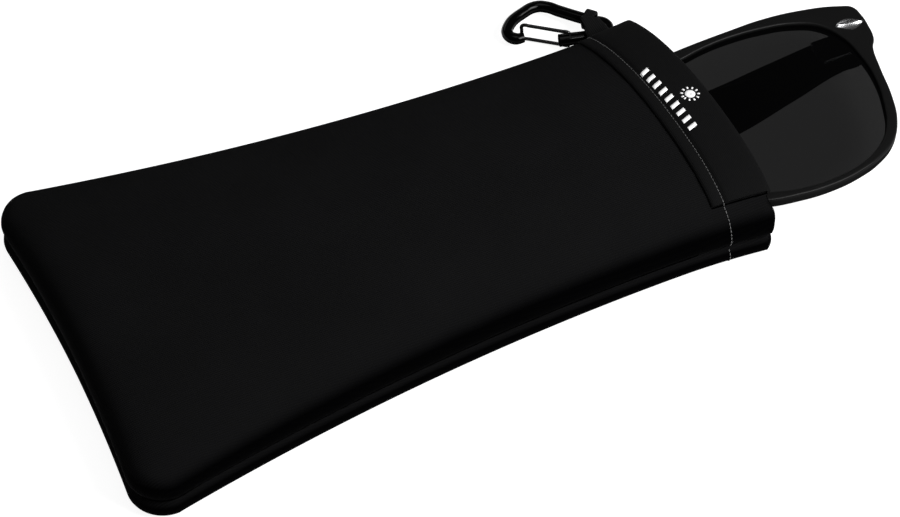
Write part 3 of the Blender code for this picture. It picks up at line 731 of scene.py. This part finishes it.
def upper_face(y):
    """The top panel's upper face at the mouth."""
    return panel_top(LENGTH, y)


def lower_face(y):
    """The bottom panel's upper face at the mouth, level all along it."""
    return 2 * EDGE_R


def casing_recess():
    low, high = LOWER_CASING_Y
    places = np.linspace(low - CLEARANCE, high + CLEARANCE, 25)
    edge = [(mouth_x(y) - CASING_BACK - CLEARANCE, y) for y in places]
    return loft([[(x, y, z) for x, y in trim_outline(edge)] for z in (TRIM_HEIGHTS[0], RECESS_DEPTH)])


def loop_slot():
    """Room in the seam for the strap's tail."""
    reach = Vector((CLEARANCE, CLEARANCE, LOOP_THICKNESS + CLEARANCE))
    low = Vector((LOOP_X[0], LOOP_TAIL_Y, SEAM_Z)) - reach
    high = Vector((LOOP_X[1], LOOP_SLOT_END, SEAM_Z)) + reach
    bm = bmesh.new()
    bmesh.ops.create_cube(bm, size=1.0)
    bmesh.ops.scale(bm, vec=high - low, verts=bm.verts)
    bmesh.ops.translate(bm, vec=(low + high) / 2, verts=bm.verts)
    return bm


def upper_height(x, y, h):
    """The real height in the top panel of a point at height h in a flat one."""
    swollen = h * (1 + rise(x, y) / (2 * EDGE_R)) + swelling(x, y) * h / (2 * EDGE_R)
    return SEAM_Z + SEAM_GAP / 2 + swollen


def flat_height(x, y, h):
    """The bottom panel stays flat."""
    return h


def make_panels(fabric):
    top = mesh_of(loft(panel_sections(upper_height)), "top")
    top = cut_by(top, [cavity(), mouth_trim(SEAM_Z + SEAM_GAP / 2, upper_face, TOP_CORNER), loop_slot()])
    bottom = mesh_of(loft(panel_sections(flat_height)), "bottom")
    bottom_mouth = mouth_trim(0.0, lower_face, BOTTOM_CORNER)
    bottom = cut_by(bottom, [cavity(), bottom_mouth, loop_slot(), casing_recess()])
    upper = piece("top_panel_cloth", top, fabric, "sleeve", "top_panel", slot="neoprene")
    lower = piece("bottom_panel_cloth", bottom, fabric, "sleeve", "bottom_panel", slot="neoprene")


def skin(x, t):
    """A point on the outside of the top panel at x.

    t runs 0 to 1 over its face, then 1 to 2 round its far edge down to the seam, and 0 to -1 round its
    near edge.
    """
    half = half_width(x)
    if 0 <= t <= 1:
        y = (2 * t - 1) * (half - EDGE_R)
        return Vector((x, y, panel_top(x, y)))
    side = 1 if t > 1 else -1
    turn = math.pi / 2 - math.pi * (t - 1 if t > 1 else -t)
    y = side * (half - EDGE_R * (1 - math.cos(turn)))
    height = EDGE_R * (1 + math.sin(turn)) * (1 + rise(x, y) / (2 * EDGE_R))
    return Vector((x, y, SEAM_Z + SEAM_GAP / 2 + height))


def skin_normal(x, t):
    along = skin(x, t + SKIN_STEP) - skin(x, t - SKIN_STEP)
    return Vector((0, -along.z, along.y)).normalized()


def over_skin(back, t, up):
    """A point this far back from the mouth's edge and this far off the panel."""
    x = mouth_x(skin(LENGTH, t).y) - back
    return skin(x, t) + skin_normal(x, t) * up


def face_t(y):
    """The place along skin() that lies at y, on the panel's face under the casing."""
    return (y / (half_width(LENGTH - CASING_MIDDLE) - EDGE_R) + 1) / 2


def casing_share(t):
    """How much of its thickness the top casing has at t."""
    start, least = CASING_THIN
    return 1 - (1 - least) * min(1.0, max(0.0, (t - start) / (CASING_WRAP - start)))


def casing_height(back):
    """The height of the top casing's outside above the panel."""
    backs = [point[0] for point in reversed(CASING_OUTER[:-1])]
    ups = [point[1] for point in reversed(CASING_OUTER[:-1])]
    return float(np.interp(back, backs, ups))


def casing_point(back, up, t):
    """A point of the top casing; what lies above the panel thins towards the far end."""
    if up > 0:
        up = up * casing_share(t)
    return over_skin(back, t, up)


def make_casings(cloth):
    stations = np.linspace(face_t(CASING_NEAR_Y), CASING_WRAP, 70)
    bm = loft([[casing_point(back, up, t) for back, up in CASING_OUTER + CASING_INNER] for t in stations])
    top = piece("mouth_casing_top_cloth", mesh_of(bm, "casing_top"), cloth, "sleeve", "mouth_casing_top",
                slot="casing_tape", smooth_angle=50)
    places = np.linspace(*LOWER_CASING_Y, 40)
    bm = loft([[(mouth_x(y) - back, y, z) for back, z in LOWER_CASING_PROFILE] for y in places])
    bottom = piece("mouth_casing_bottom_cloth", mesh_of(bm, "casing_bottom"), cloth, "sleeve",
                   "mouth_casing_bottom", slot="casing_tape", smooth_angle=50)


def evenly(points, pitch):
    """Points of a line at an even pitch, with the line's direction at each."""
    points = np.array(points)
    steps = np.linalg.norm(np.diff(points, axis=0), axis=1)
    reach = np.concatenate([[0], np.cumsum(steps)])
    places = np.arange(pitch / 2, reach[-1], pitch)
    here = np.stack([np.interp(places, reach, points[:, k]) for k in range(3)], axis=1)
    ahead = np.stack([np.interp(places + LINE_STEP, reach, points[:, k]) for k in range(3)], axis=1)
    return [(Vector(a), Vector(b - a).normalized()) for a, b in zip(here, ahead)]


def stitch_ring(along, radius):
    turns = np.linspace(0, math.tau, 9)[:-1]
    return [Vector((along, radius * math.cos(a), radius * math.sin(a))) for a in turns]


def stitches(name, line, yarn):
    """A row of short rounded stitches along a line."""
    bm = bmesh.new()
    rings = [stitch_ring(share * STITCH_LENGTH, width * STITCH_R) for share, width in STITCH_PROFILE]
    for place, along in evenly(line, STITCH_PITCH)[:-1]:
        turned = along.to_track_quat("X", "Z").to_matrix()
        loft([[place + turned @ point for point in ring] for ring in rings], bm)
    piece(name, mesh_of(bm, name), yarn, "sleeve", slot="casing_tape")


def top_stitch_line():
    """Round the panel's far edge, over the casing, then round the near edge to the seam."""
    near_t = face_t(CASING_NEAR_Y)
    line = [over_skin(STITCH_BACK, t, STITCH_LIFT) for t in np.linspace(*STITCH_FAR, 30)]
    for t in np.linspace(CASING_WRAP, near_t, 90):
        lift = casing_height(STITCH_BACK) * casing_share(t) + CASING_STITCH_LIFT
        line.append(over_skin(STITCH_BACK, t, lift))
    for t in np.linspace(near_t - STITCH_NEAR_GAP, STITCH_NEAR, 50):
        line.append(over_skin(STITCH_BACK, t, STITCH_LIFT))
    return line


def lower_edge_line():
    """Round the bottom panel's near edge, in line with the row above."""
    x = mouth_x(-MOUTH_HALF) - STITCH_BACK
    line = []
    for a in np.radians(np.linspace(*LOWER_STITCH_TURN, 14)):
        inset = EDGE_R * (1 - math.cos(a)) - STITCH_LIFT * math.cos(a)
        line.append((x, inset - half_width(x), EDGE_R * (1 + math.sin(a))))
    return line


def seam_line():
    """The seam between the panels, from one side of the mouth round the closed end to the other."""
    outline = inset_outline(plan_outline(0.0), SEAM_THREAD_INSET)
    return [Vector((x, y, SEAM_Z)) for x, y in outline if x < SEAM_THREAD_END]


def under_line():
    """Along the lower casing's back edge."""
    low, high = LOWER_CASING_Y
    places = np.linspace(low + UNDER_STITCH_INSET, high - UNDER_STITCH_INSET, 40)
    return [(mouth_x(y) - STITCH_BACK, y, UNDER_STITCH_Z) for y in places]


def painted_end_shadow_line():
    """The painted shadow line along the top casing's near end."""
    t = face_t(CASING_NEAR_Y) - END_SHADOW_GAP
    return [over_skin(back, t, END_SHADOW_LIFT) for back in np.linspace(CASING_BACK, END_SHADOW_FRONT, 12)]


def make_stitching(yarn, dark_yarn_and_shadow):
    """The light row along the top casing runs on round the near edges; the seam thread is black, and so is
    the painted shadow line along the casing's near end.
    """
    stitches("mouth_stitching", top_stitch_line(), yarn)
    stitches("lower_edge_stitching", lower_edge_line(), yarn)
    stitches("under_stitching", under_line(), yarn)
    # A black tube along the casing's near end: a painted shadow of the gap under it.
    end_shadow_mesh = mesh_of(tube(painted_end_shadow_line(), END_SHADOW_R, detail=3, roundness=2), "casing_end_painted_shadow")
    piece("casing_end_painted_shadow", end_shadow_mesh, dark_yarn_and_shadow, "sleeve", slot="casing_tape")
    seam_thread = mesh_of(tube(seam_line()[::3], SEAM_THREAD_R, detail=3, roundness=2), "seam_thread")
    piece("seam_thread", seam_thread, dark_yarn_and_shadow, "sleeve", slot="neoprene")


def patch(bm, grid):
    """A skin on the top casing through a grid of places, each a distance back from the mouth and a y."""
    rows = []
    for places in grid:
        rows.append([
            bm.verts.new(over_skin(back, face_t(y), casing_height(back) + PRINT_LIFT)) for back, y in places
        ])
    for first, second in zip(rows, rows[1:]):
        for i in range(len(first) - 1):
            bm.faces.new((first[i], first[i + 1], second[i + 1], second[i]))


def sun_point(radius, turn):
    return SUN_CENTRE[0] + radius * math.cos(turn), SUN_CENTRE[1] + radius * math.sin(turn)


def bar_point(y, along, across):
    """A point of the bar at y, with shares from -0.5 to 0.5 of its length and of its width."""
    back = MARK_BACK + MARK_LEAN * (y - sum(MARK_Y) / 2)
    return back + BAR_SIZE[1] * along, y + BAR_SIZE[0] * across - BAR_SLANT * along


def make_print(white):
    """A generic mark: a row of slanted bars and a small sun with rays."""
    bm = bmesh.new()
    for y in np.linspace(*MARK_Y, MARK_BARS):
        lengthwise = np.linspace(-0.5, 0.5, 7)
        patch(bm, [[bar_point(y, along, across) for across in (-0.5, 0, 0.5)] for along in lengthwise])
    turns = np.linspace(0, math.tau, 33)
    patch(bm, [[sun_point(radius, turn) for turn in turns] for radius in (SUN_MIDDLE, SUN_RADIUS)])
    for turn in turns[:-1:len(turns) // SUN_RAYS]:
        sides = (turn - RAY_TURN, turn + RAY_TURN)
        patch(bm, [[sun_point(SUN_RADIUS + reach, side) for side in sides] for reach in RAY_REACH])
    mark = piece("printed_mark", mesh_of(bm, "printed_mark"), white, "sleeve", slot="casing_tape")
    skin_depth = mark.modifiers.new("thickness", "SOLIDIFY")
    skin_depth.thickness = PRINT_THICK * MM


# ---------------------------------------------------------------- webbing and carabiner

def around_spine(share, radius, angles):
    """Points round the carabiner's spine, square to it, at a share of the strap's width."""
    middle_x = WRAP_X[0] + share * (WRAP_X[1] - WRAP_X[0])
    middle_y = SPINE_POINT[1] + SPINE_SLOPE * (middle_x - SPINE_POINT[0])
    across = Vector((-SPINE_SLOPE, 1.0)).normalized() * radius
    return [
        Vector((middle_x + across.x * math.cos(a), middle_y + across.y * math.cos(a),
                ROD_Z + radius * math.sin(a)))
        for a in np.radians(angles)
    ]


def strap_section(share, edge):
    """The strap's outline at a share of its width. edge thins it towards its selvedges."""
    x = LOOP_X[0] + share * (LOOP_X[1] - LOOP_X[0])
    half = LOOP_THICKNESS - edge
    over = ROD_Z + ROD_R + CLEARANCE + edge
    top = ROD_Z + ROD_R + CLEARANCE + 2 * LOOP_THICKNESS - edge
    outer = around_spine(share, ROD_R + CLEARANCE + half, np.linspace(*WRAP_TURN, 40))
    knee = around_spine(share, KNEE_REACH, [180])[0]
    tail = [Vector((x, LOOP_TAIL_Y, SEAM_Z - half)), Vector((x, LOOP_TAIL_Y, SEAM_Z + half))]
    top_knee = Vector((knee.x + share * KNEE_SPREAD, knee.y, top))
    upper = [Vector((x, LOOP_BEND_Y, top)).lerp(top_knee, s) for s in (0, 0.25, 0.5, 0.75, 1)]
    low_bend = Vector((x, LOOP_BEND_Y, over))
    lower = [Vector((knee.x, knee.y, over)).lerp(low_bend, s) for s in (0, 0.5, 1)]
    return tail + upper + outer + lower


def make_loop(cloth):
    places = sorted(LOOP_EDGES + tuple((share, 0.0) for share in np.linspace(0.1, 0.9, 9)))
    body = mesh_of(loft([strap_section(share, edge) for share, edge in places]), "loop")
    turns = np.linspace(0, 360, 41)[:-1]
    hole = loft([around_spine(share, ROD_R + CLEARANCE, turns) for share in HOLE_SHARES])
    strap = piece("webbing_strap", cut_by(body, [hole]), cloth, None, "webbing_loop", slot="webbing")
    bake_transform(strap)


def make_carabiner(enamel, wire):
    line = [Vector((x, y, ROD_Z)) for x, y in CARABINER_LINE]
    rod = mesh_of(tube(line, ROD_OWN_R, detail=10, roundness=6, swell=ROD_SWELL), "carabiner_rod")
    piece("carabiner_rod", rod, enamel, "carabiner", "carabiner_frame", slot="black_enamel")
    pivot = Vector((*GATE_PIVOT, ROD_Z))
    reach = Vector((*GATE_END, ROD_Z)) - pivot
    leg = Vector((0, 0, GATE_LEG_Z))
    half = [leg * share for share in GATE_ROOT_SHARES]
    half += [leg + reach * share for share in GATE_LEG_SHARES]
    half += [leg * share + reach for share in GATE_NOSE_SHARES]
    path = [pivot + p for p in half] + [pivot + Vector((p.x, p.y, -p.z)) for p in reversed(half)]
    gate = mesh_of(tube(path, GATE_WIRE_R, detail=6, roundness=4), "gate_wire")
    piece("gate_wire", gate, wire, "gate", "carabiner_gate", slot="black_wire")


# ---------------------------------------------------------------- sunglasses

def arch(bm):
    """Bends a flat piece of the front to its slight arch."""
    for vertex in bm.verts:
        vertex.co.z += FRONT_SAG * (1 - (vertex.co.x / FRONT_HALF) ** 2)


def nose_pads(bm):
    """Moulded pads swell from the back of the front, each side of the nose."""
    for vertex in bm.verts:
        if vertex.co.z > -FRONT_THICK * PAD_FROM:
            continue
        from_side = (abs(vertex.co.x) - PAD_CENTRE[0]) / PAD_REACH[0]
        from_above = (vertex.co.y - PAD_CENTRE[1]) / PAD_REACH[1]
        vertex.co.z -= PAD_HEIGHT * max(0.0, 1 - math.hypot(from_side, from_above) ** 2)


def mirrored(points):
    return [(-u, v) for u, v in points]


def make_front(acetate, tint, silver):
    right = list(BROW_LINE) + list(RIM_LINE)
    outline = right + mirrored(reversed(right[1:-1]))
    openings = (OPENING_LINE, mirrored(OPENING_LINE))
    bm = flat_shape((outline, *openings), FRONT_THICK / 2, FRONT_EDGE_R)
    bmesh.ops.translate(bm, vec=(0, 0, -FRONT_THICK / 2), verts=bm.verts)
    nose_pads(bm)
    arch(bm)
    piece("front_acetate", mesh_of(bm, "front_acetate", GLASSES), acetate, "sunglasses", "frame_front",
          slot="acetate", smooth_angle=30)
    centre = np.mean(OPENING_LINE, axis=0)
    for side, sign in SIDES.items():
        shape = [(sign * u, v) for u, v in centre + (np.array(OPENING_LINE) - centre) * LENS_SHRINK]
        bm = flat_shape((shape,), LENS_THICK / 2, LENS_EDGE_R, edge_detail=1)
        bmesh.ops.translate(bm, vec=(0, 0, LENS_MIDDLE), verts=bm.verts)
        arch(bm)
        piece("lens_glass_" + side, mesh_of(bm, "lens_glass", GLASSES), tint, "sunglasses", "lens_" + side,
              slot="lens_tint", smooth_angle=30)
        piece("stud_" + side, stud(sign), silver, "sunglasses", "corner_stud_" + side, slot="stud_silver",
              smooth_angle=50)


def stud(sign):
    """A pointed leaf with a sharp ridge along its middle."""
    length, width = STUD_SIZE
    steps = np.linspace(-1, 1, 25)
    half = [(length / 2 * t, width / 2 * (1 - t * t) ** STUD_POINT + STUD_TIP) for t in steps]
    outline = half + [(x, -y) for x, y in reversed(half[1:-1])]
    sections = []
    for along, across, height in STUD_RINGS:
        sections.append([
            (sign * (STUD_CENTRE[0] + x * along), STUD_CENTRE[1] + y * across - STUD_LEAN * x * along,
             STUD_GAP + height * STUD_HEIGHT)
            for x, y in outline
        ])
    bm = loft(sections)
    arch(bm)
    return mesh_of(bm, "stud", GLASSES)


def make_arms(acetate):
    """The folded arms, each leaning a little so that they lie one over the other."""
    for side, sign in SIDES.items():
        hinge = Matrix.Translation((sign * HINGE_U, 0, HINGE_N)) @ Matrix.Rotation(-ARM_LEAN, 4, "Y")
        outline = [(-sign * s, v) for s, v in ARM_LINE]
        bm = flat_shape((outline,), ARM_THICK / 2, ARM_EDGE_R, edge_detail=4)
        bmesh.ops.translate(bm, vec=(0, 0, -ARM_OFFSET), verts=bm.verts)
        piece("arm_acetate_" + side, mesh_of(bm, "arm_acetate", GLASSES @ hinge), acetate, side + "_arm",
              "arm_" + side, slot="acetate", smooth_angle=30)


# ---------------------------------------------------------------- room

def make_room():
    bm = bmesh.new()
    bmesh.ops.create_grid(bm, x_segments=2, y_segments=2, size=FLOOR_HALF)
    mesh = bpy.data.meshes.new("floor")
    bm.to_mesh(mesh)
    bm.free()
    floor = bpy.data.objects.new("floor", mesh)
    floor.location.z = FLOOR_Z
    bpy.context.scene.collection.objects.link(floor)
    paper, _, shader = new_material("pale_floor", (0.5, 0.5, 0.5), roughness=0.9, specular=0.1)
    shader.inputs["Emission Color"].default_value = (1.0, 1.0, 1.0, 1.0)
    shader.inputs["Emission Strength"].default_value = FLOOR_GLOW
    mesh.materials.append(paper)


def area_light(name, place, aim, size, power):
    data = bpy.data.lights.new(name, "AREA")
    data.shape = "RECTANGLE"
    data.size, data.size_y = size
    data.energy = power
    lamp = bpy.data.objects.new(name, data)
    bpy.context.scene.collection.objects.link(lamp)
    lamp.location = place
    lamp.rotation_euler = (Vector(aim) - Vector(place)).to_track_quat("-Z", "Y").to_euler()


def make_lights():
    scene = bpy.context.scene
    scene.view_settings.view_transform = "Standard"
    world = bpy.data.worlds.new("room")
    world.use_nodes = True
    background = world.node_tree.nodes["Background"]
    background.inputs["Color"].default_value = (1, 1, 1, 1)
    background.inputs["Strength"].default_value = ROOM_GLOW
    scene.world = world
    for name, (place, aim, size, power) in LIGHTS.items():
        area_light(name, place, aim, size, power)


def make_camera():
    data = bpy.data.cameras.new("camera")
    data.sensor_width = 36
    data.lens = CAMERA_LENS
    data.clip_start = 0.01
    camera = bpy.data.objects.new("camera", data)
    bpy.context.scene.collection.objects.link(camera)
    camera.location = at(*CAMERA_AT)
    camera.rotation_euler = (at(*CAMERA_AIM) - camera.location).to_track_quat("-Z", "Y").to_euler()
    bpy.context.scene.camera = camera


def main():
    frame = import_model()
    make_camera()
    make_room()
    make_lights()

    acetate = gloss_black("black_acetate", ACETATE, roughness=0.33, speck=700, shine=0.12)
    enamel = gloss_black("enamel", ENAMEL, roughness=0.14, speck=900, shine=0.2)
    wire = gloss_black("black_wire_coat", WIRE, roughness=0.2, speck=1200, shine=0.8)
    silver = bright_metal("polished_silver", SILVER, roughness=0.2)
    steel = bright_metal("hinge_steel", STEEL, roughness=0.3)
    light_yarn = thread("grey_thread", LIGHT_THREAD, specular=0.3)
    # No gloss, so that the painted shadow line along the casing's near end stays dark.
    dark_yarn_and_shadow = thread("black_thread_and_shadow", DARK_THREAD_AND_SHADOW, specular=0.0)
    make_panels(neoprene())
    make_casings(casing_tape())
    make_stitching(light_yarn, dark_yarn_and_shadow)
    make_print(ink())
    make_loop(webbing())
    make_carabiner(enamel, wire)
    make_front(acetate, tinted_lens(), silver)
    make_arms(acetate)
    for name, node in frame["nodes"].items():
        if name.startswith(("front_hinge", "arm_hinge", "hinge_screw", "spring_strip")):
            node.material_slots[0].material = steel


main()
